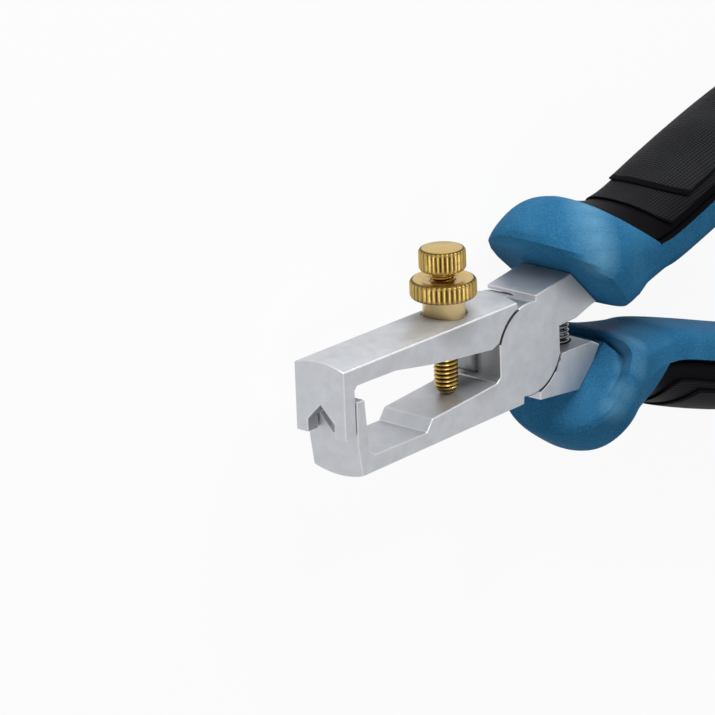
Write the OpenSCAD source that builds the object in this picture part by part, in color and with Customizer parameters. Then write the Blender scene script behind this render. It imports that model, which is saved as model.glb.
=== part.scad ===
// Wire stripper: two crossed levers, an adjusting screw with its lock nut, an opening spring and moulded grips.
// It lies on its side. X runs from the jaw tip towards the handles, Y towards the screw head, Z along the pivot.
// The origin is on the pivot axis, in the back face of the joint.

/* [Head] */
// Thickness of the steel head
head_t = 10.4; // [9:0.1:12]
// From the pivot to the outside of the upper jaw's end wall
jaw_reach = 45.5; // [40:0.5:52]
// Height of the upper jaw's top edges above the pivot
jaw_top = 8.7; // [8:0.1:10]
// How far the crowned top and bottom rise above their edges
crown = 0.9; // [0.4:0.1:1.2]
// Thickness of the upper jaw's end wall
upper_wall_t = 2.6; // [2:0.1:3.2]
// Thickness of the lower jaw's end wall at its top
lower_wall_t = 1.9; // [1.6:0.1:2.4]
// Shear gap between the two end walls
wall_gap = 0.3; // [0.25:0.05:0.5]
// Height of the window's ceiling above the pivot
window_top = 5.7; // [5:0.1:6]
// Depth of the upper jaw's prongs below the pivot
prong_drop = 2.7; // [2:0.1:3.5]
// Depth of the lower jaw's outer edge below the pivot, at the tip
jaw_drop = 9.7; // [9:0.1:10.5]
// Thickness of the lower jaw where it is thin
thin_arm_t = 2.9; // [2.4:0.1:3.6]
// Height of the pad for the screw above the thin part of the lower jaw
pad_rise = 1.9; // [1.2:0.1:2.2]
// Half the width of each wire notch
notch_half_w = 2.85; // [2:0.05:3.4]
// Height of the upper notch's point above the pivot
upper_notch_y = 2.4; // [1.8:0.1:3]
// Depth of the lower notch's point below the pivot
lower_notch_y = 3; // [2.5:0.1:3.5]

/* [Pivot] */
// Radius of the two halved discs
disc_r = 8; // [7.5:0.1:8.6]
// Gap between the two halved discs
lap_gap = 0.1; // [0.06:0.02:0.2]
// Gap round each disc, in the other lever
step_gap = 0.25; // [0.2:0.05:0.4]
// Radius of the rivet
rivet_r = 2.5; // [2:0.1:3.5]
// Radial running gap of the rivet in the upper jaw's lever
rivet_gap = 0.05; // [0.02:0.01:0.09]

/* [Screw] */
// From the pivot to the screw's axis
screw_x = 15.1; // [13.5:0.1:17]
// Radius of the screw's thread
screw_r = 2; // [1.5:0.1:2.5]
// Radial gap round the screw in the upper jaw and the lock nut
screw_gap = 0.05; // [0.02:0.01:0.09]
// Radius of the screw's head
head_r = 3.85; // [3.5:0.1:5]
// Height of the screw's head
head_h = 3.65; // [2.5:0.1:4.5]
// Gap between the lock nut and the screw's head
head_gap = 1.45; // [1:0.1:3]
// Gap between the screw's point and the pad
point_gap = 0.1; // [0.05:0.05:0.3]
// Radius of the lock nut's knurled disc
nut_r = 5.45; // [5:0.1:6.5]
// Height of the lock nut's knurled disc
nut_h = 3.1; // [2:0.1:4]
// Radius of the lock nut's hub
hub_r = 3.45; // [3.2:0.05:4]
// Height of the lock nut's hub
hub_h = 3.3; // [2:0.1:5]
// Number of ridges round the screw's head
head_ridges = 30; // [20:2:36]
// Number of ridges round the lock nut
nut_ridges = 38; // [28:2:44]

/* [Spring] */
// From the pivot to the spring's axis
spring_x = 12.3; // [11.8:0.1:12.6]
// Outer radius of the spring
spring_r = 2.4; // [2:0.1:2.6]
// Radius of the spring's wire
wire_r = 0.3; // [0.2:0.05:0.35]
// Number of turns
spring_turns = 12; // [8:1:14]
// Radial gap round the spring in its pockets
pocket_gap = 0.3; // [0.2:0.1:0.4]
// Depth of each pocket
pocket_depth = 3; // [2:0.1:3.4]

/* [Grips] */
// Half the thickness of the tangs inside the grips
tang_half_t = 3.6; // [3:0.1:4.4]
// Half the width of the tangs inside the grips
tang_half_w = 3.4; // [3:0.1:4]
// Gap between a tang and the grip moulded round it
tang_gap = 0.1; // [0.05:0.05:0.3]
// Half the thickness of the grips
grip_half_t = 9.2; // [8.4:0.1:10]
// How far the finger guards stand out past the grips' sides
guard_flare = 2.8; // [2:0.1:3.4]
// Depth of the black cover's seat in the blue shell
cover_t = 1.6; // [1.2:0.1:2]
// How far the cover lies below the shell's outline
cover_drop = 0.7; // [0.5:0.1:0.9]
// Height of each of the two textured layers on the cover
layer_t = 0.45; // [0.3:0.05:0.6]
// Gap between the moulded layers of a grip
layer_gap = 0.04; // [0.03:0.01:0.1]

/* [Hidden] */
steel = [0.72, 0.73, 0.75];
brass = [0.79, 0.62, 0.28];
blue = [0.10, 0.36, 0.58];
black = [0.10, 0.10, 0.11];
over = 1; // how far a cut runs past the face it opens
press_gap = 0.01; // round the rivet where it is fast
mid_z = head_t / 2;

// Jaws: the window between them and the ends that meet at the wire notches
inner_x = upper_wall_t + wall_gap; // from the tip to the lower jaw's end wall
lower_wall_x = jaw_reach - inner_x;
window_x = lower_wall_x - lower_wall_t;
crown_r = (mid_z * mid_z + crown * crown) / (2 * crown);
thin_y = thin_arm_t - jaw_drop;
pad_y = thin_y + pad_rise;
// The pad climbs towards the joint, from its front edge to the root of the arm
pad_front_x = 24.6;
pad_root_x = 8.5;
root_y = -3.5;
root_in_y = 2.5; // where the upper jaw's inner edge meets the joint
flat_x = disc_r - 0.5; // the flats on both discs, in the window and by the spring
notch_run = 12; // how far each wire notch runs on, past the jaw's edge
window_fillet = 0.6;
bar_inset = 4; // how far a crowned bar reaches past the pivot's level
function pad_y_at(x) = pad_y + (root_y - pad_y) * (pad_front_x - x) / (pad_front_x - pad_root_x);

upper_jaw = [[-jaw_reach, -prong_drop], [-jaw_reach, jaw_top + crown], [-2.9, jaw_top + crown], [-2.9, 0],
    [-flat_x, -1], [-flat_x, 3.2], [-9.4, root_in_y], [-18, window_top - 2.3], [-24.5, window_top - 1.5],
    [-33, window_top - 0.1], [-window_x, window_top],
    [window_fillet - lower_wall_x - wall_gap, window_top], [-lower_wall_x - wall_gap, window_top - window_fillet],
    [-lower_wall_x - wall_gap, -prong_drop]];
lower_jaw = [[-lower_wall_x, lower_notch_y], [-lower_wall_x, -4.3], [-lower_wall_x + 1, -jaw_drop - crown],
    [-12.9, -jaw_drop - crown], [-2.1, -jaw_drop - crown], [-1.8, -7.9], [-1, 0], [-flat_x, 0],
    [-flat_x, -2.7], [-pad_root_x, root_y], [-pad_front_x, pad_y], [-pad_front_x - 1.4, thin_y],
    [-window_x + 2, thin_y], [-window_x + 0.8, thin_y + 0.9], [-window_x, lower_notch_y]];
// The blocks behind the joint, where each lever turns into its tang. The grips butt on their slanted ends
butt_outer = [10.7, 10.1];
butt_inner = [17.1, 3.6];
block_low_y = 2.1; // the upper block's underside, at the spring
block_high_y = -2.9; // the lower block's top, at the spring
upper_block = [[1.7, 2], [1.7, 8.7], butt_outer, butt_inner, [15.3, 3.2], [11.7, block_low_y],
    [flat_x, 1.9], [flat_x, 0]];
lower_block = [[2, -4], [2.2, -9.4], [12, -10.4], [16, -6.35], [17.6, -4], [15.6, block_high_y],
    [8.1, block_high_y], [flat_x, -3.2], [flat_x, -4]];
arm_rise = 1.1; // degrees that the lower jaw's outer edge rises towards the joint

// Screw and nut, from the nut's seat upwards
seat_depth = 0.65;
seat_y = jaw_top + crown - seat_depth;
seat_gap = 0.4; // round the nut's hub, in its seat
nut_y = seat_y + hub_h;
nut_top_y = nut_y + nut_h;
screw_head_y = nut_top_y + head_gap;
screw_top_y = screw_head_y + head_h;
point_y = pad_y_at(screw_x - 1.3) + point_gap;
point_chamfer = 0.7;
edge_chamfer = 0.45;
ridge_depth = 0.3;
core_step = 0.1; // from the ridges' roots in to the core

// Spring: it stands between the floors of its two pockets
pocket_top = block_low_y + pocket_depth;
pocket_bottom = block_high_y - pocket_depth;
spring_low = pocket_bottom + wire_r + 0.05;
spring_high = pocket_top - wire_r - 0.05;

// Grips: stations from the guard's rim to the end. Each is the inner and outer edge in the middle plane,
// then its half thickness less that of the grip. The lower grip is the upper one's mirror image, set back.
stations = [
    [[20, 4.8], [7.6, 13.2], guard_flare - 2.6],
    [[19.5, 2.2], [5.1, 16.8], guard_flare],
    [[22.1, 2.6], [9.2, 19.9], guard_flare + 0.3],
    [[24.3, 3.2], [13.3, 21.2], guard_flare - 0.4],
    [[26.4, 3.7], [17.8, 20.3], guard_flare - 1.3],
    [[29.4, 4.3], [22.9, 18.7], guard_flare - 2],
    [[32.7, 4.8], [27.1, 18], 0.1],
    [[36.5, 5.3], [32.2, 18.9], 0],
    [[49, 9.1], [45, 23.4], 0],
    [[65, 14.3], [61.5, 28.2], 0],
    [[82, 18.1], [79.8, 32], -0.1],
    [[97, 19.4], [97.4, 32.9], -0.6],
    [[107.5, 19], [109.5, 31], -1.5],
    [[112, 20.1], [113.7, 28.4], -3.2],
    [[113.9, 22], [114.6, 25.8], -6]];
// How the lower grip departs from that: it stands further out, and its guard leans back
$lower = 0; // 1 in the lower grip
lower_sag = 0.85;
// How far its outer edge moves along X and outwards, by station
lean_x = [[0, -0.6], [1, 2], [2, 1.7], [3, 0.4], [4, -1.2], [5, -1.5], [6, -0.6], [7, 0]];
lean_y = [[0, 1.9], [1, 1.1], [3, 1.2], [4, -0.1], [5, -0.6], [6, 0.1], [7.5, lower_sag], [9, 0.3]];
lower_shift = [1.3, -0.3, 0];
tang = [[14, 6.2], [18.5, 10], [25, 11.4], [34, 12.1], [47, 16.4], [63, 21.7], [80, 25.1], [92, 26]];
// Where each layer on a grip's outer side starts and ends, in stations along its middle
cover_span = [3.6, 12.2];
border_span = [5.95, 12];
palm_span = [7.05, 11.8];
// How far round the grip each layer reaches, in degrees
seat_reach = 90;
reach_gap = 1.5; // between the cover and the seat's sides
cover_reach = seat_reach - reach_gap;
border_reach = 78;
palm_reach = 63;
// How far the layers' front edges are swept back at the seat's sides, in stations
sweep_by = [[0, 0], [cover_span[0], 2.1], [border_span[0], 1.25], [palm_span[0], 0.75], [cover_span[1], 0]];
rim_sweep = [[0, 0.9], [2, 0]]; // the same for the upper guard's rim
outer_side = [-seat_reach, -border_reach, -palm_reach, -47, -31, -15, 0, 15, 31, 47,
    palm_reach, border_reach, seat_reach];
// The lower grip's layers reach further round, in degrees
lower_turn = [[-seat_reach, 5], [-border_reach, 2], [-palm_reach, 5], [palm_reach, -5], [border_reach, -2],
    [seat_reach, -5], [180, 0], [360 - seat_reach, 5]];
seat_edge = seat_reach + 0.2; // the top of the seat's side walls
inner_side = [seat_edge, 120, 135, 150, 165, 180, 195, 210, 225, 240, 360 - seat_edge];
corners = [-135, -45, 45, 135];
outer_power = 2.2;
inner_power = 4;
wall_step = 0.02; // the seat's end walls, in stations
cover_step = 0.1; // the gap at the cover's ends, in stations

function signed_power(v, p) = sign(v) * pow(abs(v), p);
function bend(a, b, c, d, t) = 0.5 * (2 * b + (c - a) * t + (2 * a - 5 * b + 4 * c - d) * t * t
    + (3 * b - a - 3 * c + d) * t * t * t);
function station(i) = let(s = stations[max(0, min(len(stations) - 1, i))])
    [s[0] + $lower * [0, lower_sag], s[1] + $lower * [lookup(i, lean_x), lookup(i, lean_y)], s[2]];
function at(t, k) = let(i = min(floor(t), len(stations) - 2))
    bend(station(i - 1)[k], station(i)[k], station(i + 1)[k], station(i + 2)[k], t - i);
// A point of the grip's outline at station t and angle a, lowered by drop along both axes
function grip_point(t, a, drop) = let(
    swept = t + (lookup(t, sweep_by) + (1 - $lower) * lookup(t, rim_sweep)) * min(1, pow(a / seat_reach, 2)),
    inner = at(swept, 0),
    outer = at(swept, 1),
    middle = (inner + outer) / 2,
    half = norm(outer - inner) / 2,
    away = (outer - inner) / (2 * half),
    turned = a - $lower * lookup(a, lower_turn),
    p = 2 / (cos(turned) > 0 ? outer_power : inner_power),
    n = (half - drop) * signed_power(cos(turned), p),
    z = (grip_half_t + at(swept, 2) - drop) * signed_power(sin(turned), p))
    [middle[0] + away[0] * n, middle[1] + away[1] * n, mid_z + z];
function grip_ring(t, seat) = concat(
    [for (a = outer_side) grip_point(t, a, seat)],
    [for (a = inner_side) grip_point(t, a, 0)]);
function span(from, to, count) = [for (i = [0:count]) from + (to - from) * i / count];
// All layers share these rings, so that their facets run parallel
layer_rings = concat(span(cover_span[0], border_span[0], 4), [(border_span[0] + palm_span[0]) / 2],
    span(palm_span[0], palm_span[1], 9), [border_span[1], cover_span[1]]);

// The tang's centre line, its direction and a ring round it, with the same number of points as a grip's ring
function tang_way(i) = let(d = tang[min(i + 1, len(tang) - 1)] - tang[max(i - 1, 0)]) d / norm(d);
function tang_away(i) = [-tang_way(i)[1], tang_way(i)[0]];
function tang_edge(i, side) = tang[i] + side * tang_half_w * tang_away(i);
function corner_at(a) = let(near = [for (c = corners) if (abs(c - (a > 180 ? a - 360 : a)) < 6) c])
    len(near) > 0 ? near[0] : a;
function box_point(a) = let(c = corner_at(a)) [cos(c), sin(c)] / max(abs(cos(c)), abs(sin(c)));
function box_ring(middle, away, half_w, half_t) = [for (a = concat(outer_side, inner_side)) let(
    q = box_point(a),
    p = middle + q[0] * half_w * away)
    [p[0], p[1], mid_z + q[1] * half_t]];
function cavity_ring(i, beyond = 0) = box_ring(tang[i] + beyond * tang_way(i), tang_away(i),
    tang_half_w + tang_gap, tang_half_t + tang_gap);

// The flat face that butts on the steel, and the tang's way in through it
butt_away = (butt_outer - butt_inner) / norm(butt_outer - butt_inner);
butt_way = [butt_away[1], -butt_away[0]];
butt_middle = (butt_outer + butt_inner) / 2 + tang_gap * butt_way;
mouth = tang[0] + ((butt_middle - tang[0]) * butt_way) * butt_way;
mouth_ring = box_ring(mouth, butt_away, tang_half_w + tang_gap, tang_half_t + tang_gap);
butt_ring = box_ring(butt_middle, butt_away, norm(butt_outer - butt_inner) / 2 + tang_gap, mid_z + tang_gap);

// A closed solid through rings of equal count. A band's rings run along its top and back along its underside:
// the underside's facets are split the other way, and its ends are strips
module loft(rings, band = false) {
    n = len(rings[0]);
    last = len(rings) - 1;
    turn = band ? n / 2 : n;
    strip = [for (i = [0:n / 2 - 2]) each [[i, i + 1, n - 2 - i], [i, n - 2 - i, n - 1 - i]]];
    end = band ? strip : [[for (i = [0:n - 1]) i]];
    polyhedron(
        points = [for (r = rings) each r],
        faces = concat(
            end,
            [for (k = [0:last - 1], i = [0:n - 1]) let(
                a = k * n + i,
                b = a + n,
                c = k * n + (i + 1) % n,
                d = c + n)
                each i < turn ? [[a, b, d], [a, d, c]] : [[a, b, c], [b, d, c]]],
            [for (f = end) [for (i = [len(f) - 1:-1:0]) last * n + f[i]]]),
        convexity = 8);
}

// A steel slab, head_t thick, cut to an outline
module slab(outline) {
    linear_extrude(head_t) polygon(outline);
}

// A bar along X as high as the jaws, with one edge crowned. side is 1 for its top and -1 for its bottom
module crowned_bar(edge, side) {
    reach = jaw_reach + 2 * over;
    translate([-jaw_reach - over, 0, mid_z]) rotate([90, 0, 90]) linear_extrude(reach) intersection() {
        translate([side * (edge + crown - crown_r), 0]) circle(crown_r, $fn = 96);
        translate([side * edge / 2, 0]) square([edge + 2 * (crown + bar_inset), head_t], center = true);
    }
}

// A disc round the pivot, and one with its two flats
module disc(r, from, to) {
    translate([0, 0, from]) cylinder(r = r, h = to - from, $fn = 96);
}

module flat_disc(from, to) {
    intersection() {
        disc(disc_r, from, to);
        translate([-flat_x, -disc_r - over, 0]) cube([2 * flat_x, 2 * (disc_r + over), head_t]);
    }
}

// A hole or shaft along Y, from one height to another
module along_y(x, r, from, to, facets = 48) {
    translate([x, from, mid_z]) rotate([-90, 0, 0]) cylinder(r = r, h = to - from, $fn = facets);
}

// A square notch for the wire, open towards +Y
module wire_notch(point_y, wall_x, wall_t) {
    translate([wall_x - over, point_y, mid_z]) rotate([90, 0, 90]) linear_extrude(wall_t + 2 * over)
        polygon([[0, 0], [notch_half_w, notch_half_w], [notch_run, notch_half_w], [notch_run, -notch_half_w],
            [notch_half_w, -notch_half_w]]);
}

// The upper lever's tang. The lower one is its mirror image
module tang_bar() {
    last = len(tang) - 1;
    translate([0, 0, mid_z - tang_half_t]) linear_extrude(2 * tang_half_t) polygon(concat(
        [for (i = [0:last]) tang_edge(i, 1)],
        [for (i = [last:-1:0]) tang_edge(i, -1)]));
}

module upper_jaw_lever() color(steel) difference() {
    union() {
        difference() {
            union() {
                intersection() {
                    slab(upper_jaw);
                    crowned_bar(jaw_top, 1);
                }
                slab(lower_block);
                translate(lower_shift) mirror([0, 1, 0]) tang_bar();
            }
            disc(disc_r + step_gap, mid_z - lap_gap / 2, head_t + over);
        }
        flat_disc(0, mid_z - lap_gap / 2);
    }
    disc(rivet_r + rivet_gap, -over, head_t + over);
    mirror([0, 1, 0]) wire_notch(-upper_notch_y, -jaw_reach, upper_wall_t);
    along_y(-screw_x, screw_r + screw_gap, 0, seat_y + over);
    along_y(-screw_x, hub_r + seat_gap, seat_y, seat_y + hub_h);
    along_y(spring_x, spring_r + pocket_gap, pocket_bottom, 0);
}

module lower_jaw_lever() color(steel * 0.97) difference() {
    union() {
        difference() {
            union() {
                intersection() {
                    slab(lower_jaw);
                    translate([-jaw_reach, -jaw_drop, 0]) rotate(arm_rise) translate([jaw_reach, jaw_drop, 0])
                        crowned_bar(jaw_drop, -1);
                }
                slab(upper_block);
                tang_bar();
            }
            disc(disc_r + step_gap, -over, mid_z + lap_gap / 2);
        }
        flat_disc(mid_z + lap_gap / 2, head_t);
    }
    disc(rivet_r + press_gap, -over, head_t + over);
    wire_notch(-lower_notch_y, -lower_wall_x, lower_wall_t);
    along_y(spring_x, spring_r + pocket_gap, 0, pocket_top);
}

module pivot_rivet() color(steel * 0.9) cylinder(r = rivet_r, h = head_t, $fn = 64);

module opening_spring() color(steel * 0.8) {
    steps = spring_turns * 12;
    middle_r = spring_r - wire_r;
    loft([for (s = [0:steps]) let(
        a = 30 * s,
        y = spring_low + (spring_high - spring_low) * s / steps)
        [for (b = [0:60:300]) let(r = middle_r + wire_r * cos(b))
            [spring_x + r * cos(a), y + wire_r * sin(b), mid_z - r * sin(a)]]]);
}

// A knurled disc from one height to another: a ridged band round a core with chamfered ends
module knurled(r, from, to, ridges) {
    core_r = r - ridge_depth - core_step;
    h = to - from;
    translate([-screw_x, from, mid_z]) rotate([-90, 0, 0]) {
        translate([0, 0, edge_chamfer]) linear_extrude(h - 2 * edge_chamfer)
            polygon([for (i = [0:2 * ridges - 1]) let(a = 180 * i / ridges)
                (i % 2 == 0 ? r : r - ridge_depth) * [cos(a), sin(a)]]);
        rotate_extrude($fn = 96) polygon([[0, 0], [core_r - edge_chamfer, 0], [core_r, edge_chamfer],
            [core_r, h - edge_chamfer], [core_r - edge_chamfer, h], [0, h]]);
    }
}

module adjusting_screw() color(brass) {
    knurled(head_r, screw_head_y, screw_top_y, head_ridges);
    translate([-screw_x, point_y, mid_z]) rotate([-90, 0, 0]) rotate_extrude($fn = 64)
        polygon([[0, 0], [screw_r - point_chamfer, 0], [screw_r, point_chamfer * 1.6],
            [screw_r, screw_head_y - point_y], [0, screw_head_y - point_y]]);
}

module lock_nut() color(brass) difference() {
    union() {
        knurled(nut_r, nut_y, nut_top_y, nut_ridges);
        along_y(-screw_x, hub_r, seat_y, nut_y);
    }
    along_y(-screw_x, screw_r + screw_gap, seat_y - over, nut_top_y + over);
}

// A grip's blue shell: from the tang's end out through the butt face, then along the outside to the end
module grip_shell() {
    last_ring = len(layer_rings) - 1;
    loft(concat(
        [cavity_ring(len(tang) - 1, tang_gap)],
        [for (i = [len(tang) - 2:-1:1]) cavity_ring(i)],
        [mouth_ring, butt_ring],
        [for (t = span(0, cover_span[0], 12)) grip_ring(t, 0)],
        [for (step = [wall_step, cover_step]) grip_ring(cover_span[0] + step, cover_t)],
        [for (i = [1:last_ring - 1]) grip_ring(layer_rings[i], cover_t)],
        [for (step = [cover_step, wall_step]) grip_ring(cover_span[1] - step, cover_t)],
        [for (t = span(cover_span[1], len(stations) - 1, 5)) grip_ring(t, 0)]));
}

// A layer over a grip's outer side, between two depths, through the rings at the given stations
module grip_layer(rings, reach, low, high) {
    angles = concat([-reach], [for (a = outer_side) if (abs(a) < reach - 1) a], [reach]);
    last = len(angles) - 1;
    loft([for (t = rings) concat(
        [for (i = [0:last]) grip_point(t, angles[i], high)],
        [for (i = [last:-1:0]) grip_point(t, angles[i], low)])], band = true);
}

function rings_in(part) = [for (t = layer_rings) if (t >= part[0] && t <= part[1]) t];

module grip_cover() {
    inside = [for (t = layer_rings) if (t > cover_span[0] && t < cover_span[1]) t];
    grip_layer(concat([cover_span[0] + cover_step], inside, [cover_span[1] - cover_step]), cover_reach,
        cover_t - layer_gap, cover_drop);
}

module grip_border() grip_layer(rings_in(border_span), border_reach, cover_drop - layer_gap, cover_drop - layer_t);

module palm_pad() grip_layer(rings_in(palm_span), palm_reach, cover_drop - layer_t - layer_gap,
    cover_drop - 2 * layer_t);

// What is mirrored for the lower grip
module below() {
    $lower = 1;
    translate(lower_shift) mirror([0, 1, 0]) children();
}

module upper_grip_shell() color(blue) grip_shell();
module upper_grip_cover() color(black) grip_cover();
module upper_grip_border() color(black * 1.6) grip_border();
module upper_palm_pad() color(black * 2) palm_pad();
module lower_grip_shell() color(blue) below() grip_shell();
module lower_grip_cover() color(black) below() grip_cover();
module lower_grip_border() color(black * 1.6) below() grip_border();
module lower_palm_pad() color(black * 2) below() palm_pad();

upper_jaw_lever();
lower_jaw_lever();
pivot_rivet();
opening_spring();
adjusting_screw();
lock_nut();
upper_grip_shell();
upper_grip_cover();
upper_grip_border();
upper_palm_pad();
lower_grip_shell();
lower_grip_cover();
lower_grip_border();
lower_palm_pad();
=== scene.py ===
# %% [markdown]
# # A wire stripper with an adjusting screw
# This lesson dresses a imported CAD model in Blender: forged steel jaws, a brass screw with its lock nut, and
# grips moulded in blue and black. The CAD model is a fixed frame, in metres. It is never moved or changed;
# each piece is a copy that is refined, or a new mesh that takes the CAD piece's place.

# %% Load the frame
import math

import bmesh
import bpy
import numpy
from mathutils import Matrix, Vector
from mathutils.bvhtree import BVHTree
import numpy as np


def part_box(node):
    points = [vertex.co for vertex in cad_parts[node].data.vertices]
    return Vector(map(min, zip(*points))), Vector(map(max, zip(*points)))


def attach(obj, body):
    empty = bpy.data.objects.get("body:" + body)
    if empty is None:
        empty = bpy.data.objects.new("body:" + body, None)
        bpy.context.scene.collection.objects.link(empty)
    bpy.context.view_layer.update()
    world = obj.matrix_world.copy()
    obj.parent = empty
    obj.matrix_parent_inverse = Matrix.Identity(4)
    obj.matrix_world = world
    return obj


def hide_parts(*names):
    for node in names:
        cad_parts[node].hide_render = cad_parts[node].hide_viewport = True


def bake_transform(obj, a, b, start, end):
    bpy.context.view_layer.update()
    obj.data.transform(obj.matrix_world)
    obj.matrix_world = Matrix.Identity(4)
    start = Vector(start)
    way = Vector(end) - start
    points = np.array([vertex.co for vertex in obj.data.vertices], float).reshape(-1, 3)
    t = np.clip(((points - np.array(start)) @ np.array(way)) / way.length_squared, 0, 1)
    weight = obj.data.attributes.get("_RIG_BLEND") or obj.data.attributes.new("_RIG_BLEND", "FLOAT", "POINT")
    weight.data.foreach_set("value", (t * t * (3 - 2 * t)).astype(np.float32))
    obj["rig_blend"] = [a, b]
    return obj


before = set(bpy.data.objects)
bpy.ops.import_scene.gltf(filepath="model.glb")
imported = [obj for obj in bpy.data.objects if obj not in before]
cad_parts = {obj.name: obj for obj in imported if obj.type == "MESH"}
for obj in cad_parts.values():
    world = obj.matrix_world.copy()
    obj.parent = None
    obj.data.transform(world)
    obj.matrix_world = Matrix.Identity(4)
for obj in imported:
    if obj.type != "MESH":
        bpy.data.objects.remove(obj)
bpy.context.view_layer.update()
MM = 0.001

# %% [markdown]
# ## The camera
# The photo was taken with a long lens from the tool's front, from its jaws' side. Such a lens hardly
# shrinks what is far, so the camera stands far off. The numbers below were fitted to corners of the steel
# head. The tool lies on its side, and the photo holds it up by its Y axis, so the camera is turned about
# its own axis.

# %% Camera
camera_at = Vector((-724.0, 324.33, 626.15)) * MM
camera_aim = Vector((-36.25, 7.74, 5.2)) * MM
camera_roll = math.radians(-2.207)
lens_mm = 311.23
sensor_mm = 36.0
photo_size = 715


def camera_axes():
    """The camera's right, up and back directions."""
    back = (camera_at - camera_aim).normalized()
    level_right = Vector((0, 1, 0)).cross(back).normalized()
    level_up = back.cross(level_right)
    along = math.cos(camera_roll)
    across = math.sin(camera_roll)
    return level_right * along + level_up * across, level_up * along - level_right * across, back


right, up, back = camera_axes()
camera_data = bpy.data.cameras.new("camera")
camera_data.lens = lens_mm
camera_data.sensor_width = sensor_mm
camera_data.sensor_fit = "AUTO"
camera_data.clip_start = 0.01
camera = bpy.data.objects.new("camera", camera_data)
camera.matrix_world = Matrix.Translation(camera_at) @ Matrix((right, up, back)).transposed().to_4x4()
bpy.context.collection.objects.link(camera)
bpy.context.scene.camera = camera
bpy.context.scene.view_settings.view_transform = "Standard"
print("camera with a", lens_mm, "mm lens,", round((camera_aim - camera_at).length / MM), "mm away")

# %% [markdown]
# ## Writing shaders as sums
# A material is a net of nodes. Long nets are hard to read as clicks, so a small class wraps a socket:
# adding, multiplying or comparing two of them makes the Math node.


# %% Shader maths
class Value:
    """A number that varies over the surface. Sums and products of it are Math nodes."""

    def __init__(self, tree, socket):
        self.tree = tree
        self.socket = socket

    def math(self, operation, a, b=None):
        """One Math node on two values or numbers."""
        node = self.tree.nodes.new("ShaderNodeMath")
        node.operation = operation
        for socket, value in zip(node.inputs, (a, b)):
            if isinstance(value, Value):
                self.tree.links.new(value.socket, socket)
            elif value is not None:
                socket.default_value = value
        return Value(self.tree, node.outputs[0])

    def __add__(self, other):
        return self.math("ADD", self, other)

    def __radd__(self, other):
        return self.math("ADD", other, self)

    def __sub__(self, other):
        return self.math("SUBTRACT", self, other)

    def __rsub__(self, other):
        return self.math("SUBTRACT", other, self)

    def __mul__(self, other):
        return self.math("MULTIPLY", self, other)

    def __rmul__(self, other):
        return self.math("MULTIPLY", other, self)

    def __pow__(self, other):
        return self.math("POWER", self, other)

    def sin(self):
        return self.math("SINE", self)

    def max(self, other):
        return self.math("MAXIMUM", self, other)

    def clamp(self):
        """Held between 0 and 1."""
        return self.math("MINIMUM", self.max(0.0), 1.0)


# %% [markdown]
# A finish is a material with one Principled shader. Its constants are written on the shader's own sockets,
# and only what varies over the surface is linked. All but the grips' dots read Object coordinates, turned
# into millimetres.


# %% Finishes
class Finish:
    """A material on one Principled shader, and the nodes that feed it."""

    def __init__(self, name, colour, roughness, metallic=0.0, **sockets):
        self.material = bpy.data.materials.new(name)
        self.material.use_nodes = True
        self.tree = self.material.node_tree
        self.shader = self.tree.nodes["Principled BSDF"]
        self.set("Base Color", (*colour, 1.0))
        self.set("Roughness", roughness)
        self.set("Metallic", metallic)
        for socket, value in sockets.items():
            self.set(socket.replace("_", " "), value)
        self.material.diffuse_color = (*colour, 1.0)

    def set(self, socket, value):
        """Puts a value or a link on one of the shader's sockets."""
        self.join(self.shader.inputs[socket], value)

    def join(self, socket, value):
        """Links a value to a socket, or writes a plain number on it."""
        if isinstance(value, Value):
            self.tree.links.new(value.socket, socket)
        else:
            socket.default_value = value

    def node(self, kind, settings=None, out=0, **sockets):
        """Any other node: its settings first, then its sockets by name, and one of its outputs back."""
        node = self.tree.nodes.new("ShaderNode" + kind)
        for name, value in (settings or {}).items():
            if name == "stops":
                ramp = node.color_ramp
                while len(ramp.elements) < len(value):
                    ramp.elements.new(0.5)
                for element, (place, colour) in zip(ramp.elements, value):
                    element.position = place
                    element.color = (*colour, 1.0)
            else:
                setattr(node, name, value)
        for name, value in sockets.items():
            self.join(node.inputs[name], value)
        return Value(self.tree, node.outputs[out])

    def place(self, stretch=(1, 1, 1), turn=(0, 0, 0)):
        """Object coordinates in millimetres, turned and then stretched."""
        spot = self.node("TexCoord", out=3)
        return self.node("Mapping", Vector=spot, Rotation=turn, Scale=tuple(s / MM for s in stretch))

    def parts(self, vector):
        """A vector's three parts."""
        node = self.node("SeparateXYZ", Vector=vector).socket.node
        return [Value(self.tree, output) for output in node.outputs]

    def noise(self, place, scale, detail=2.0, rough=0.5):
        """A cloudy number about 0.5. Its scale is in clouds per millimetre."""
        return self.node("TexNoise", {"noise_dimensions": "3D"}, Vector=place, Scale=scale, Detail=detail,
                         Roughness=rough)

    def blend(self, mask, low, high):
        """A colour between low and high."""
        node = self.tree.nodes.new("ShaderNodeMix")
        node.data_type = "RGBA"
        self.join(node.inputs[0], mask)
        for socket, colour in ((node.inputs[6], low), (node.inputs[7], high)):
            self.join(socket, colour if isinstance(colour, Value) else (*colour, 1.0))
        return Value(self.tree, node.outputs[2])

    def bump(self, height, depth_mm, strength=1.0):
        """Tilts the shading as relief of this depth would."""
        self.set("Normal", self.node("Bump", Height=height, Distance=depth_mm * MM, Strength=strength))
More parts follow.
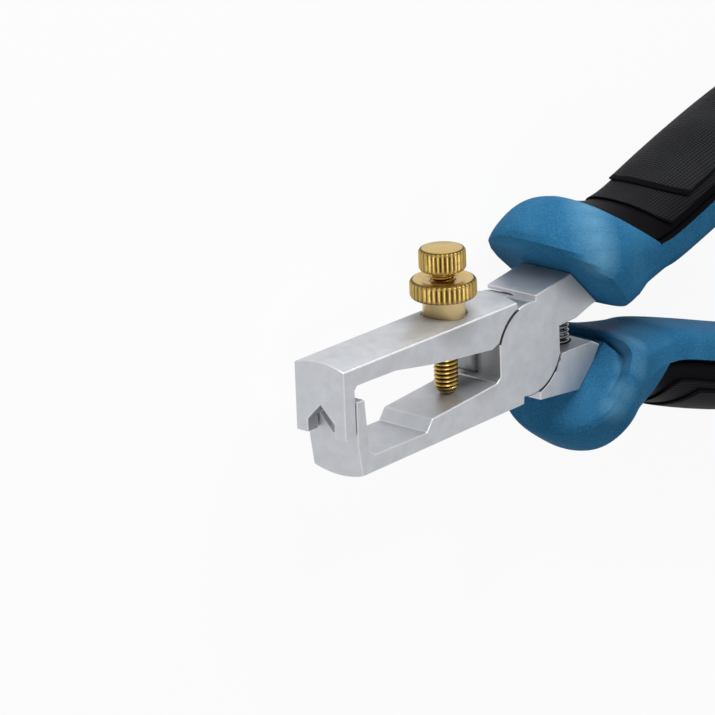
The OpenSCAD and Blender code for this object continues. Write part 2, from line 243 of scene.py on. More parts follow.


# %% [markdown]
# ## Steel
# The head is drop forged, then ground and lightly blasted: a light satin grey, a little cloudy, with very
# fine grinding lines along the jaws. A painted picture of steel could do this, but a net of noise needs no
# picture and fits any shape. One metal shader, rough and faintly streaked, does the faces. A brighter one
# does the chamfers: a painted highlight along the edges. Where the levers slide on each other, the edges
# are painted near black, as the shade in the joint's gaps, and the walls in the joint and the wire notch
# are painted darker, as shade. Under the screw, round its nut and at the upper grip's mouth, the steel has
# painted shade, and so has the joint's corner that shows in the jaw window.

# %% Steel finishes
# Spots of painted shade: under the screw, round its nut and at the upper grip's mouth.
painted_shade_spots = (((-17.5, 11.0, 5.2), 8.5), ((-11.5, -3.2, 5.2), 6.4), ((13.8, 12.0, 4.4), 10.5))
# Spots along the slot in the jaw window, where the lap walls get deeper painted shade.
slot_reach_mm = 1.4
slot_line = ((-7.45, 0.1, 5.15), (-7.45, -0.6, 5.15), (-7.45, -1.3, 5.15), (-7.45, -2.0, 5.15),
             (-7.45, -2.7, 5.1), (-7.6, -3.1, 4.5), (-7.8, -3.1, 3.9), (-8.1, -3.2, 3.4))
slot_spots = [(middle, slot_reach_mm) for middle in slot_line]


def near(finish, spots):
    """1 in the middle of each spot, and 0 beyond its reach. All are in millimetres."""
    spot = finish.place()
    cover = None
    for middle, reach in spots:
        distance = finish.node("VectorMath", {"operation": "DISTANCE"}, out=1)
        finish.tree.links.new(spot.socket, distance.socket.node.inputs[0])
        distance.socket.node.inputs[1].default_value = middle
        closeness = (1 - distance * (1 / reach)).clamp()
        cover = closeness if cover is None else cover.max(closeness)
    return cover


def steel_finish(name, colour, roughness, grain_mm, contrast=0.12, painted_shade=0.0, spots=painted_shade_spots):
    """Steel with clouds, grinding lines along X and specks, and painted shade at the spots."""
    steel = Finish(name, colour, roughness, metallic=1.0)
    place = steel.place()
    cloud = steel.noise(place, 0.45, 4.0, 0.6)
    streaks = steel.noise(steel.place(stretch=(0.6, 6.0, 6.0)), 1.0, 2.0)
    specks = steel.noise(place, 4.5, 3.0, 0.7)
    tone = (cloud * 0.9 + streaks * 0.15 + specks * 0.5 - 0.28).clamp()
    dull = [v * (1 - contrast) for v in colour]
    shiny = [min(1.0, v * (1 + contrast)) for v in colour]
    clean = steel.blend(tone, dull, shiny)
    steel.set("Roughness", roughness - 0.06 + 0.12 * (cloud * 0.5 + streaks * 0.5))
    if painted_shade:
        # Painted shade: the steel turns darker and less metallic at the spots.
        dim = (near(steel, spots) * (0.7 + 0.6 * cloud)).clamp()
        shade_colour = [v * 0.15 for v in colour]
        steel.set("Base Color", steel.blend(dim * painted_shade, clean, shade_colour))
        steel.set("Metallic", 1 - 0.85 * dim)
    else:
        steel.set("Base Color", clean)
    steel.bump(specks * 0.9 + streaks * 0.1, grain_mm)
    return steel.material


steel = steel_finish("satin_steel", (0.585, 0.60, 0.63), 0.5, 0.022, 0.17, painted_shade=0.95)
# The chamfers' steel is painted lighter than the faces: a painted highlight along the edges.
steel_edge_highlight = steel_finish("polished_steel_edge", (0.66, 0.67, 0.69), 0.50, 0.004, 0.05)
# Near-black steel for the joint's rims and lap edges: the painted shade of the gaps between the levers.
steel_gap_shade = steel_finish("forging_scale", (0.05, 0.052, 0.055), 0.55, 0.02)
# Steel for the walls in the lap and the wire notch, painted darker as shade, and darker still along the slot.
steel_wall_shade = steel_finish("lap_wall_steel", (0.34, 0.35, 0.365), 0.5, 0.02, painted_shade=1.0, spots=slot_spots)
spring_steel = steel_finish("spring_wire", (0.20, 0.20, 0.205), 0.15, 0.002)
print("steels:", steel.name, steel_edge_highlight.name, steel_gap_shade.name, steel_wall_shade.name, spring_steel.name)

# %% [markdown]
# ## Brass
# The screw and the nut are turned from brass rod and knurled straight. The metal is a warm yellow, browner
# in the grooves, where no hand rubs. A second material on the grooves' faces would end in hard steps. So
# the colour follows the distance from the axis, because the grooves are the places nearer to it. The nut's
# plain hub is painted brighter and less metallic: painted light on it.

# %% Brass finish
screw_x = -15.1 * MM
middle_z = 5.2 * MM


def brass_finish(name, rim_mm, groove_mm, painted_light_below=-1.0):
    """Brass for a rim of this radius and groove depth, painted brighter, as light, below the height that is
    given.
    """
    brass = Finish(name, (0.70, 0.50, 0.19), 0.26, metallic=1.0)
    spot = brass.node("TexCoord", out=3)
    spot_x, spot_y, spot_z = brass.parts(spot)
    x = spot_x - screw_x
    z = spot_z - middle_z
    out = (x * x + z * z) ** 0.5 * (1 / MM)
    groove = ((rim_mm - out) * (1 / groove_mm)).clamp()
    depth = groove * (1 - ((rim_mm - groove_mm - out) * 4).clamp())
    cloud = brass.noise(brass.place(), 0.9, 3.0)
    dirt = (depth * 1.1 + cloud * 0.3 - 0.15).clamp()
    worn = brass.blend(dirt, (0.66, 0.46, 0.145), (0.055, 0.030, 0.004))
    # Below that height the brass is painted brighter and less metallic: painted light on the hub.
    hub_painted_light = ((painted_light_below - spot_y) * (10 / MM)).clamp()
    brass.set("Base Color", brass.blend(hub_painted_light, worn, (0.98, 0.76, 0.40)))
    brass.set("Metallic", 1 - 0.3 * hub_painted_light)
    brass.set("Roughness", 0.24 + 0.14 * cloud + 0.12 * dirt + 0.15 * hub_painted_light)
    turning = brass.noise(brass.place(stretch=(0.4, 9.0, 0.4)), 1.0, 2.0)
    brass.bump(turning, 0.02)
    return brass.material


head_rim = 3.85
nut_rim = 5.45
crest_mm = 2.0
hub_high = 3.3
nut_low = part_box("lock_nut")[0][1] / MM
groove_deep = 0.40
brass_head = brass_finish("knurled_brass_head", head_rim, groove_deep)
hub_end = (nut_low + hub_high - 0.1) * MM
brass_nut = brass_finish("knurled_brass_nut", nut_rim, groove_deep, painted_light_below=hub_end)
brass_thread = brass_finish("brass_thread", crest_mm, groove_deep)
print("brasses:", brass_head.name, brass_nut.name, brass_thread.name)

# %% [markdown]
# ## Grip plastics
# The shell is a hard plastic with an eroded mould finish: a mid blue that breaks the light softly, with a
# grain of a few tenths of a millimetre. The guards' ridges carry painted highlights, a paler blue. The
# cushion is a smooth black rubber. The step and the pad on it carry rows of small dots. Dots in the mesh
# would take millions of faces, so a bump draws them. The rows must follow the grip round, so they read a UV
# map that is laid out in millimetres along and round each grip.

# %% Plastic finishes
# Spots on the guards' ridges where the blue is painted paler: painted highlights.
painted_highlight_spots = (((15.5, 20.0, 10.5), 5.0), ((13.4, 18.7, 13.3), 5.0), ((11.9, 16.4, 15.3), 5.0),
                ((11.4, 13.7, 16.6), 4.5), ((22.0, -5.2, 13.0), 3.4), ((20.0, -7.6, 14.9), 3.4),
                ((16.2, -10.8, 16.0), 3.0), ((14.0, -13.0, 16.0), 3.0))


def shell_finish():
    """The shell's mottled and grained blue, with painted highlights at the guards' ridges."""
    blue = Finish("blue_shell", (0.012, 0.15, 0.34), 0.5, Specular_IOR_Level=0.008)
    place = blue.place()
    cloud = blue.noise(place, 0.16, 4.0, 0.6)
    grain = blue.noise(place, 3.4, 4.0, 0.7)
    tone = (cloud * 0.6 + grain * 1.5 - 0.55).clamp()
    moulded_blue = blue.blend(tone, (0.002, 0.085, 0.210), (0.060, 0.235, 0.415))
    # Painted highlight on the ridges, mottled by the grain.
    ridge_highlight = (near(blue, painted_highlight_spots) * (0.6 + 0.9 * grain)).clamp() * 0.6
    blue.set("Base Color", blue.blend(ridge_highlight, moulded_blue, (0.16, 0.38, 0.56)))
    blue.set("Roughness", 0.38 + 0.16 * grain + 0.06 * cloud)
    blue.bump(grain, 0.06)
    return blue.material


def cushion_finish():
    """The cushion's smooth black."""
    black = Finish("black_cushion", (0.012, 0.012, 0.014), 0.34, Specular_IOR_Level=0.02)
    place = black.place()
    grain = black.noise(place, 4.0, 3.0, 0.6)
    black.set("Base Color", black.blend(grain, (0.002, 0.002, 0.003), (0.006, 0.006, 0.008)))
    black.set("Roughness", 0.42 + 0.2 * grain)
    black.bump(grain, 0.02)
    return black.material


def dotted_finish(name, pitch_mm, middle, crest, groove):
    """Rows of dots, pitch_mm apart along and round the grip, each row set half a pitch over."""
    pad = Finish(name, middle, 0.55, Specular_IOR_Level=0.04)
    rows = pad.node("UVMap", {"uv_map": "girth"})
    along, girth, _ = pad.parts(rows)
    turn = math.pi / pitch_mm
    dots = (((along + girth) * turn).sin() * ((along - girth) * turn).sin()) * 0.5 + 0.5
    grain = pad.noise(pad.place(), 3.0, 3.0, 0.6)
    cloud = pad.noise(pad.place(), 0.12, 3.0, 0.5)
    crown = dots ** 1.6
    worn = (crown * 0.7 + grain * 0.3 + cloud * 0.5 - 0.3).clamp()
    pad.set("Base Color", pad.blend(worn, groove, crest))
    pad.set("Roughness", 0.62 - 0.18 * crown + 0.08 * grain)
    pad.bump(crown + grain * 0.25, 0.05)
    return pad.material


blue_shell = shell_finish()
black_cushion = cushion_finish()
# Near black: the painted shade of the layers' grooves, and the colour between the step's dots.
groove_black = (0.002, 0.002, 0.003)
black_groove = Finish("black_groove", groove_black, 0.8, Specular_IOR_Level=0.05).material
dot_pitch_mm = 0.52
border_dots = dotted_finish("dotted_step", dot_pitch_mm, (0.011, 0.011, 0.013), (0.030, 0.030, 0.034),
                            groove_black)
pad_dots = dotted_finish("dotted_pad", dot_pitch_mm, (0.013, 0.013, 0.015), (0.040, 0.041, 0.045),
                         (0.003, 0.003, 0.004))
print("plastics:", blue_shell.name, black_cushion.name, black_groove.name, border_dots.name, pad_dots.name)

# %% [markdown]
# ## Helpers
# An operator acts on everything that is selected, so each step starts by selecting its own piece alone. A
# CAD mesh is loose triangles: a copy is merged before anything else is done to it.


# %% Selecting and copying
def alone(piece):
    """Selects one piece and nothing else."""
    bpy.ops.object.select_all(action="DESELECT")
    piece.select_set(True)
    bpy.context.view_layer.objects.active = piece


def copy_of(node):
    """A merged copy of a CAD node's mesh, as a new object at the origin."""
    piece = bpy.data.objects.new(node + "_dressed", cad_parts[node].data.copy())
    bpy.context.collection.objects.link(piece)
    piece.data.materials.clear()
    alone(piece)
    bpy.ops.object.mode_set(mode="EDIT")
    bpy.ops.mesh.select_all(action="SELECT")
    bpy.ops.mesh.remove_doubles(threshold=0.002 * MM)
    bpy.ops.object.mode_set(mode="OBJECT")
    return piece


def apply(piece, kind, **settings):
    """Adds a modifier, sets it and applies it."""
    modifier = piece.modifiers.new(kind.lower(), kind)
    for name, value in settings.items():
        setattr(modifier, name, value)
    alone(piece)
    bpy.ops.object.modifier_apply(modifier=modifier.name)


# %% [markdown]
# Real edges are never sharp, and a small chamfer catches the light. A bevel by angle alone would fold over
# itself in tight places. So it follows a weight on each edge, and a cramped edge is left sharp while its
# neighbours get their chamfer.

# %% Rounding edges
straight_on = 0.4


def cramped(edge, width):
    """A bevel as wide as this has no room beside a short edge that goes another way."""
    way = edge.verts[1].co - edge.verts[0].co
    for corner in edge.verts:
        for other in corner.link_edges:
            turn = way.angle(other.verts[1].co - other.verts[0].co)
            turns_off = straight_on < turn < math.pi - straight_on
            if other is not edge and other.calc_length() < 2 * width and turns_off:
                return True
    return edge.calc_length() < width


def round_edges(piece, width_mm, angle, segments=2, keep=None, material=-1):
    """Bevels edges sharper than angle, in degrees, but for cramped ones and those that keep() names."""
    mesh = bmesh.new()
    mesh.from_mesh(piece.data)
    weights = mesh.edges.layers.float
    weight = weights.get("bevel_weight_edge") or weights.new("bevel_weight_edge")
    for edge in mesh.edges:
        if len(edge.link_faces) == 2 and edge.calc_face_angle(0) > math.radians(angle):
            middle = (edge.verts[0].co + edge.verts[1].co) / 2
            kept = keep and (keep(middle) or cramped(edge, width_mm * MM))
            edge[weight] = 0.0 if kept else 1.0
    mesh.to_mesh(piece.data)
    mesh.free()
    apply(piece, "BEVEL", width=width_mm * MM, segments=segments, limit_method="WEIGHT", material=material,
          use_clamp_overlap=keep is None)


def smooth(piece, angle):
    """Shades smoothly across edges that are blunter than angle, in degrees."""
    alone(piece)
    bpy.ops.object.shade_smooth_by_angle(angle=math.radians(angle))


def dress(piece, body, *nodes, slot):
    """The piece rides on its body and stands for its CAD nodes."""
    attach(piece, body)
    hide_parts(*nodes)
    print(piece.name, len(piece.data.polygons), "faces")


# %% [markdown]
# ## The two levers
# On the real tool each lever is one forging: a jaw, half of the lap joint and a tang. It could be modelled
# again from boxes, but the CAD solids have its exact shape. So each is copied, its flat faces are made
# whole by a limited dissolve, and its edges get the narrow chamfer that catches the light. The rivet is
# ground flush and can't be seen, so its hole stays sharp. Weighted normals keep the big flat faces flat
# beside their chamfers.

# %% Places on a lever
spring_low, spring_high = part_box("opening_spring")
spring_axis_x = (spring_low[0] + spring_high[0]) / 2
lap_r = 8.0
edge_mm = 0.20
sharp_angle = 24
flat_angle = 0.6
rivet_hole_mm = 3
screw_hole_mm = 4.6
pocket_mm = 3.4


def bored(point):
    """The rivet's hole, the screw's hole with the nut's seat, and the spring's pockets keep sharp rims."""
    across = point.z - middle_z
    by_rivet = math.hypot(point.x, point.y) < rivet_hole_mm * MM
    by_screw = math.hypot(point.x - screw_x, across) < screw_hole_mm * MM
    by_spring = math.hypot(point.x - spring_axis_x, across) < pocket_mm * MM and abs(point.y) < lap_r * MM
    return by_rivet or by_screw or by_spring


def in_lap(point):
    """Walls and edges between the joint's faces, within the discs' reach."""
    between_faces = 0.6 * MM < point.z < 2 * middle_z - 0.6 * MM
    return math.hypot(point.x, point.y) < (lap_r + 0.9) * MM and between_faces


def on_disc_rim(point):
    """The rims of the lap discs, but for their parts in the jaw window and under the upper block."""
    beside_window = point.x < -6.5 * MM and abs(point.y) < 3 * MM
    under_block = point.y > 7.4 * MM
    on_rim = abs(math.hypot(point.x, point.y) - lap_r * MM) < 0.35 * MM
    return on_rim and not beside_window and not under_block


def in_notch(face):
    """The walls of a wire notch, at the jaws' tips."""
    at = face.center
    near_tip = at.x < -39 * MM and abs(at.z - middle_z) < 3 * MM and abs(at.y) < 4 * MM
    return near_tip and abs(face.normal.x) < 0.3 and abs(face.normal.y) < 0.8


# %% [markdown]
# Each face of a lever then takes its finish from where it lies: a chamfer, a rim of the joint, a wall in it,
# or a wire notch.


# %% Levers
def forged(node, body):
    """A lever with chamfers in painted highlight, painted gap shade on the joint's rims, and painted shade on
    its walls and in its notch.
    """
    lever = copy_of(node)
    bpy.ops.object.mode_set(mode="EDIT")
    bpy.ops.mesh.select_all(action="SELECT")
    bpy.ops.mesh.dissolve_limited(angle_limit=math.radians(flat_angle))
    bpy.ops.object.mode_set(mode="OBJECT")
    for finish in (steel, steel_edge_highlight, steel_gap_shade, steel_wall_shade):
        lever.data.materials.append(finish)
    # Slot 1 takes the chamfers' painted highlight, slot 2 the painted gap shade, slot 3 the walls' painted
    # shade.
    chamfer, scale, inside = 1, 2, 3
    round_edges(lever, edge_mm, sharp_angle, keep=bored, material=chamfer)
    # Chamfers on the discs' rims and in the lap take the painted gap shade. Upright lap walls and the notch's
    # walls take the walls' painted shade.
    for face in lever.data.polygons:
        is_chamfer = face.material_index == chamfer
        is_upright = abs(face.normal.z) < 0.3
        if is_chamfer and on_disc_rim(face.center):
            face.material_index = scale
        elif in_lap(face.center) and face.center.x < 0:
            if is_chamfer:
                face.material_index = scale
            elif is_upright:
                face.material_index = inside
        elif in_notch(face):
            face.material_index = inside
    smooth(lever, sharp_angle)
    apply(lever, "WEIGHTED_NORMAL", keep_sharp=True)
    dress(lever, body, node, slot="steel")


forged("upper_jaw_lever", "upper_jaw")
forged("lower_jaw_lever", "lower_jaw")

# %% [markdown]
# ## The rivet
# The rivet could be spun afresh, but all that shows of it is a flat end, flush with the disc. So it keeps
# its CAD mesh and takes the levers' steel.

# %% Rivet
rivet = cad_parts["pivot_rivet"]
rivet.data.materials.clear()
rivet.data.materials.append(steel)
print(rivet.name, "keeps its CAD mesh")

# %% [markdown]
# ## The spring
# A coil of thin wire stands between the two blocks. A bevelled curve or a screw modifier could draw it.
# Here a circle is spun round the coil's axis and each ring is then lifted, which leaves a plain closed mesh
# of known rings. When the jaws open, its upper end goes with the upper block, so it is blended between the
# levers' bodies.

# %% Spring
wire_mm = 0.32
spring_turns = 12
wire_sides = 10
rings_per_turn = 24
held_mm = 3
coil_mm = (spring_high[0] - spring_low[0]) / 2 / MM - wire_mm
bpy.ops.object.select_all(action="DESELECT")
wire_start = (spring_axis_x + coil_mm * MM, spring_low[1] + wire_mm * MM, middle_z)
bpy.ops.mesh.primitive_circle_add(vertices=wire_sides, radius=wire_mm * MM, location=wire_start)
spring = bpy.context.object
spring.name = "opening_spring_wire"
bpy.ops.object.transform_apply(location=True, rotation=True, scale=True)
spring_rise = spring_high[1] - spring_low[1] - 2 * wire_mm * MM
bpy.ops.object.mode_set(mode="EDIT")
bpy.ops.mesh.select_all(action="SELECT")
rings = spring_turns * rings_per_turn
bpy.ops.mesh.spin(steps=rings, angle=spring_turns * 2 * math.pi, use_auto_merge=False,
                  center=(spring_axis_x, 0, middle_z), axis=(0, 1, 0))
bpy.ops.object.mode_set(mode="OBJECT")
for index, vertex in enumerate(spring.data.vertices):
    vertex.co.y += spring_rise * (index // wire_sides) / rings
alone(spring)
bpy.ops.object.mode_set(mode="EDIT")
bpy.ops.mesh.select_all(action="SELECT")
bpy.ops.mesh.fill_holes(sides=0)
bpy.ops.mesh.normals_make_consistent(inside=False)
bpy.ops.object.mode_set(mode="OBJECT")
spring.data.materials.append(spring_steel)
smooth(spring, 50)
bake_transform(spring, "upper_jaw", "lower_jaw", start=(spring_axis_x, spring_low[1] + held_mm * MM, middle_z),
         end=(spring_axis_x, spring_high[1] - held_mm * MM, middle_z))
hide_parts("opening_spring")
print(spring.name, len(spring.data.polygons), "faces")

# %% [markdown]
# ## Turned and knurled brass
# A lathe turns these: a profile is drawn beside the axis and spun round it. The knurl is pressed in
# afterwards, in ridges of a rounded crest and a narrow root. A bump could draw it, but the ridges show at
# the rim's outline, so the rim's own points are moved in by their angle. The ridges fade at the chamfers,
# as on the real screw.

# %% Turning
merge_mm = 0.004


def turned(name, profile_mm, steps):
    """Spins a profile of (radius, height) points round the screw's axis, and merges what meets."""
    bpy.ops.object.select_all(action="DESELECT")
    bpy.ops.mesh.primitive_circle_add(vertices=len(profile_mm), radius=MM)
    piece = bpy.context.object
    piece.name = name
    for vertex, (radius, height) in zip(piece.data.vertices, profile_mm):
        vertex.co = (screw_x + radius * MM, height * MM, middle_z)
    bpy.ops.object.mode_set(mode="EDIT")
    bpy.ops.mesh.select_all(action="SELECT")
    bpy.ops.mesh.spin(steps=steps, angle=2 * math.pi, use_auto_merge=False, center=(screw_x, 0, middle_z),
                      axis=(0, 1, 0))
    bpy.ops.mesh.select_all(action="SELECT")
    bpy.ops.mesh.remove_doubles(threshold=merge_mm * MM)
    bpy.ops.mesh.normals_make_consistent(inside=False)
    bpy.ops.object.mode_set(mode="OBJECT")
    return piece


def knurl(piece, rim_mm, ridges, depth_mm, low_mm, high_mm, fade_mm):
    """Presses ridges into the rim between two heights, fading towards each."""
    for vertex in piece.data.vertices:
        x = vertex.co.x - screw_x
        z = vertex.co.z - middle_z
        out = math.hypot(x, z) / MM
        height = vertex.co.y / MM
        if out < rim_mm - 0.7 or not low_mm - 0.01 < height < high_mm + 0.01:
            continue
        wave = 0.5 - 0.5 * math.cos(ridges * math.atan2(z, x))
        reach = min(1, (height - low_mm) / fade_mm, (high_mm - height) / fade_mm)
        scale = 1 - depth_mm * (1 - wave ** 0.7) * max(0, reach) / out
        vertex.co.x = screw_x + x * scale
        vertex.co.z = middle_z + z * scale


def heights(node):
    """The lowest and the highest place of a CAD node along the screw, in mm."""
    low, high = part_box(node)
    return low[1] / MM, high[1] / MM


# %% [markdown]
# ## The lock nut
# The nut is a knurled disc on a plain hub. It could be a cylinder with a second one under it, but a turned
# profile gives every chamfer in one step. Its hole is left open, with the screw's shaft inside it.

# %% Lock nut
nut_high = heights("lock_nut")[1]
hub_mm = 3.45
hub_top = nut_low + hub_high
hole_mm = 2.06
nut_ridges = 38
ridge_mm = 0.34
fade_mm = 0.45
ridge_steps = 6
nut_profile = [(hole_mm, nut_low), (hub_mm - 0.15, nut_low), (hub_mm, nut_low + 0.15),
               (hub_mm, hub_top - 0.05), (hub_mm + 0.05, hub_top), (nut_rim - 0.65, hub_top),
               (nut_rim - 0.3, hub_top + 0.12), (nut_rim - 0.05, hub_top + 0.4), (nut_rim, hub_top + 0.7),
               (nut_rim, nut_high - 0.7), (nut_rim - 0.05, nut_high - 0.4), (nut_rim - 0.3, nut_high - 0.12),
               (nut_rim - 0.65, nut_high), (hole_mm + 0.34, nut_high), (hole_mm, nut_high - 0.3)]
nut = turned("lock_nut_turned", nut_profile, nut_ridges * ridge_steps)
knurl(nut, nut_rim, nut_ridges, ridge_mm, hub_top + 0.1, nut_high - 0.1, fade_mm)
nut.data.materials.append(brass_nut)
smooth(nut, 45)
dress(nut, "lock_nut", "lock_nut", slot="brass")

# %% [markdown]
# ## The adjusting screw
# A thread is a V wound round a core, 0.7 mm from turn to turn. Rings stacked on an axis would only look
# like a thread. Here a flat grid is wrapped into a tube whose rows climb by one pitch in each turn, so the
# crest is a true helix. Rows below the point or above the head are held at their planes, and the point is
# cut to a cone.

# %% Screw shaft
point_y, screw_top = heights("adjusting_screw")
head_tall = 3.65
head_low = screw_top - head_tall
pitch = 0.7
around = 48
per_pitch = 8
root_mm = 1.60
neck_mm = 1.75
neck_long = 0.9
tip_mm = 1.15
cone_mm = 1.25
cone_slope = 0.7
rows = int((head_low - point_y) / pitch + 2) * per_pitch
bpy.ops.object.select_all(action="DESELECT")
bpy.ops.mesh.primitive_grid_add(x_subdivisions=around, y_subdivisions=rows, size=1)
shaft = bpy.context.object
shaft.name = "adjusting_screw_shaft"
for index, vertex in enumerate(shaft.data.vertices):
    column = index % (around + 1)
    row = index // (around + 1)
    turn = column / around
    height = point_y - pitch + (row / per_pitch + turn) * pitch
    phase = (row % per_pitch) / per_pitch
    radius = root_mm + (crest_mm - root_mm) * min(1, 1.35 * (1 - abs(2 * phase - 1)))
    if height < point_y:
        height = point_y
        radius = tip_mm
    radius = min(radius, cone_mm + cone_slope * (height - point_y))
    if height > head_low - neck_long:
        radius = neck_mm
    height = min(height, head_low + 0.5)
    angle = -2 * math.pi * turn
    beside = radius * MM * math.cos(angle)
    before = radius * MM * math.sin(angle)
    vertex.co = (screw_x + beside, height * MM, middle_z + before)
alone(shaft)
bpy.ops.object.mode_set(mode="EDIT")
bpy.ops.mesh.select_all(action="SELECT")
bpy.ops.mesh.remove_doubles(threshold=merge_mm * MM)
bpy.ops.mesh.fill_holes(sides=0)
bpy.ops.mesh.normals_make_consistent(inside=False)
bpy.ops.object.mode_set(mode="OBJECT")
shaft.data.materials.append(brass_thread)
smooth(shaft, 40)
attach(shaft, "adjusting_screw")
print(shaft.name, len(shaft.data.polygons), "faces")

# %% [markdown]
# The head is turned and knurled as the nut is, from a profile of its own. It stands for the CAD screw, and
# the shaft rides with it.

# %% Screw head
head_ridges = 30
head_profile = [(0, head_low), (head_rim - 0.55, head_low), (head_rim - 0.25, head_low + 0.12),
                (head_rim - 0.04, head_low + 0.4), (head_rim, head_low + 0.7), (head_rim, screw_top - 0.7),
                (head_rim - 0.04, screw_top - 0.4), (head_rim - 0.25, screw_top - 0.12),
                (head_rim - 0.55, screw_top), (0, screw_top)]
head = turned("adjusting_screw_head", head_profile, head_ridges * ridge_steps)
knurl(head, head_rim, head_ridges, ridge_mm, head_low + 0.1, screw_top - 0.1, fade_mm)
head.data.materials.append(brass_head)
smooth(head, 45)
dress(head, "adjusting_screw", "adjusting_screw", slot="brass")

# %% [markdown]
# ## The grips
# Each grip is moulded in layers: shell, cushion, step and pad. They could be sculpted afresh, but the CAD
# layers already lie where the real ones do and are only coarse. So their triangles are joined back into
# four-sided faces, their rims get a small rounding, and a subdivision surface draws the soft form that a
# mould has.


# %% Sides of a layer
def is_wall(face, thick_mm):
    """A layer's sides are strips as wide as the layer is thick."""
    return min((edge.verts[0].co - edge.verts[1].co).length for edge in face.edges) < thick_mm * MM


def round_corners(layer, thick_mm, width_mm):
    """Bevels the short upright edges where two sides of a layer meet."""
    mesh = bmesh.new()
    mesh.from_mesh(layer.data)
    weight = mesh.edges.layers.float.new("bevel_weight_edge")
    for edge in mesh.edges:
        walls = [face for face in edge.link_faces if is_wall(face, thick_mm)]
        if len(walls) == 2 and edge.calc_face_angle(0) > math.radians(50):
            edge[weight] = 1.0
    mesh.to_mesh(layer.data)
    mesh.free()
    apply(layer, "BEVEL", width=width_mm * MM, segments=5, limit_method="WEIGHT", use_clamp_overlap=True)


# %% [markdown]
# Round each layer runs a dark line: the painted shade of a groove. Cutting the groove would need a finer mesh,
# so the narrow faces of the sides, and the shell's faces about its cushion's seat, are painted black as its
# shade. The guard's front rim gets a crease, or the subdivision would round it away.

# %% Grooves and rims
seat_reach_mm = 0.62
rim_firmness = 0.6


def darken_walls(layer, thick_mm):
    """A layer's sides are painted black, as the shade in the groove round it."""
    mesh = bmesh.new()
    mesh.from_mesh(layer.data)
    for face in mesh.faces:
        face.material_index = 1 if is_wall(face, thick_mm) else 0
    mesh.to_mesh(layer.data)
    mesh.free()


def darken_seat(shell, cover):
    """The shell's faces under and beside its cushion are painted black, as the shade in the groove round the
    cushion.
    """
    mesh = bmesh.new()
    mesh.from_mesh(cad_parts[cover].data)
    tree = BVHTree.FromBMesh(mesh)
    mesh.free()
    for face in shell.data.polygons:
        if tree.find_nearest(face.center)[3] < seat_reach_mm * MM:
            face.material_index = 1


def crease_rim(shell):
    """The guard's front has a firm rim: its edges stay crisp when the form is softened."""
    mesh = bmesh.new()
    mesh.from_mesh(shell.data)
    crease = mesh.edges.layers.float.new("crease_edge")
    for edge in mesh.edges:
        middle = (edge.verts[0].co + edge.verts[1].co) / 2
        if middle.x < 32 * MM and math.radians(24) < edge.calc_face_angle(0) < math.radians(75):
            edge[crease] = rim_firmness
    mesh.to_mesh(shell.data)
    mesh.free()


# %% [markdown]
# Now the steps follow each other as the form is built: faces, finishes, corners, rims, then softness.

# %% Moulding
rim_angle = 38
soft_angle = 60


def moulded(node, body, finish, slot, rim_mm, levels, thick_mm=0, corner_mm=0, cover=None):
    """Makes a coarse CAD layer soft. Its sides get the groove's painted shade if thick_mm is given, or its
    seat for a cover.
    """
    layer = copy_of(node)
    bpy.ops.object.mode_set(mode="EDIT")
    bpy.ops.mesh.select_all(action="SELECT")
    bpy.ops.mesh.tris_convert_to_quads(face_threshold=math.radians(60), shape_threshold=math.radians(120))
    bpy.ops.object.mode_set(mode="OBJECT")
    layer.data.materials.append(finish)
    if thick_mm or cover:
        layer.data.materials.append(black_groove)
    if thick_mm:
        darken_walls(layer, thick_mm)
    if cover:
        darken_seat(layer, cover)
        crease_rim(layer)
    if corner_mm:
        round_corners(layer, thick_mm, corner_mm)
    # A thin layer's rounded rims take the groove's painted shade too.
    round_edges(layer, rim_mm, rim_angle, material=1 if thick_mm else -1)
    apply(layer, "SUBSURF", levels=levels, render_levels=levels)
    smooth(layer, soft_angle)
    dress(layer, body, node, slot=slot)
    return layer


# %% [markdown]
# The dots' rows need a map of the grip: how far along its middle line a place is, and how far round it.


# %% Grips
def lay_girth(layer, side):
    """A UV map in millimetres: along the grip, and round its middle line."""
    start = Vector((34.4, 12.5 * side, 5.2)) * MM
    end = Vector((97, 26 * side, 5.2)) * MM
    girth_mm = 8.5
    way = (end - start).normalized()
    away = Vector((-way.y, way.x, 0)) * side
    uv = layer.data.uv_layers.new(name="girth")
    for loop in layer.data.loops:
        offset = layer.data.vertices[loop.vertex_index].co - start
        angle = math.atan2(offset.z, offset.dot(away))
        uv.data[loop.index].uv = (offset.dot(way) / MM, girth_mm * angle)


for which, body, side in (("upper", "lower_jaw", 1), ("lower", "upper_jaw", -1)):
    moulded(which + "_grip_shell", body, blue_shell, "blue_grip", 0.3, 2, cover=which + "_grip_cover")
    moulded(which + "_grip_cover", body, black_cushion, "black_grip", 0.2, 1, thick_mm=1.05)
    for node, finish in (("_grip_border", border_dots), ("_palm_pad", pad_dots)):
        layer = moulded(which + node, body, finish, "textured_grip", 0.2, 1, thick_mm=0.6, corner_mm=1.6)
        lay_girth(layer, side)


# %% [markdown]
# ## Floor, lamps and world
# The photo is a cut-out on white with soft light from above its jaws. A picture of a studio could light it,
# but four round lamps and a shaded world are enough. The floor and the world look plain white to the camera
# and in reflections, and the floor keeps the tool's soft shadow. Metal needs something to mirror, so the
# world shades from light to grey across the scene, in broad bands.


# %% Lamps
def light(name, at_mm, size_mm, watts):
    """A round lamp that faces the tool."""
    lamp = bpy.data.lights.new(name, "AREA")
    lamp.shape = "DISK"
    lamp.size = size_mm * MM
    lamp.energy = watts
    holder = bpy.data.objects.new(name, lamp)
    bpy.context.collection.objects.link(holder)
    holder.location = Vector(at_mm) * MM
    aim = Vector((20, 0, 5)) * MM - holder.location
    holder.rotation_euler = aim.to_track_quat("-Z", "Y").to_euler()
    print(name, "lamp", watts, "W")


